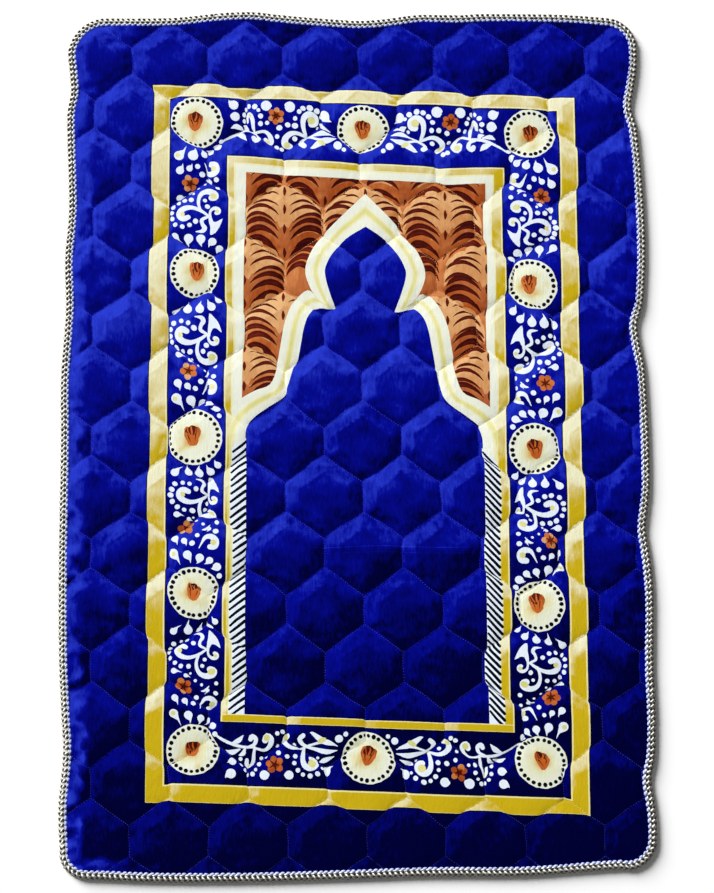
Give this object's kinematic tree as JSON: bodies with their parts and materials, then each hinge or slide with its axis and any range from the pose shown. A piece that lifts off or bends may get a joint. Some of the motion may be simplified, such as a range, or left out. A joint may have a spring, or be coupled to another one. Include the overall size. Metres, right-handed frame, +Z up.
{
  "type": "prayer rug",
  "caption": "Quilted plush prayer rug lying flat, sewn in hexagons, with an arch design and a whipped black-and-white edge.",
  "frame": {"origin": "on the floor, under the middle of the rug's box", "axes": "+Y along the rug's length towards the arch, +X across its width, +Z up from the floor through the plush face"},
  "size_m": [0.8001, 1.1962, 0.0126],
  "materials": {
    "plush": "royal blue plush pile with a cream, gold, terracotta and navy arch design",
    "edging": "whipped black and off-white yarn"
  },
  "bodies": {
    "root": {"quilted_pad": "plush", "edge_binding": "edging"}
  },
  "joints": []
}
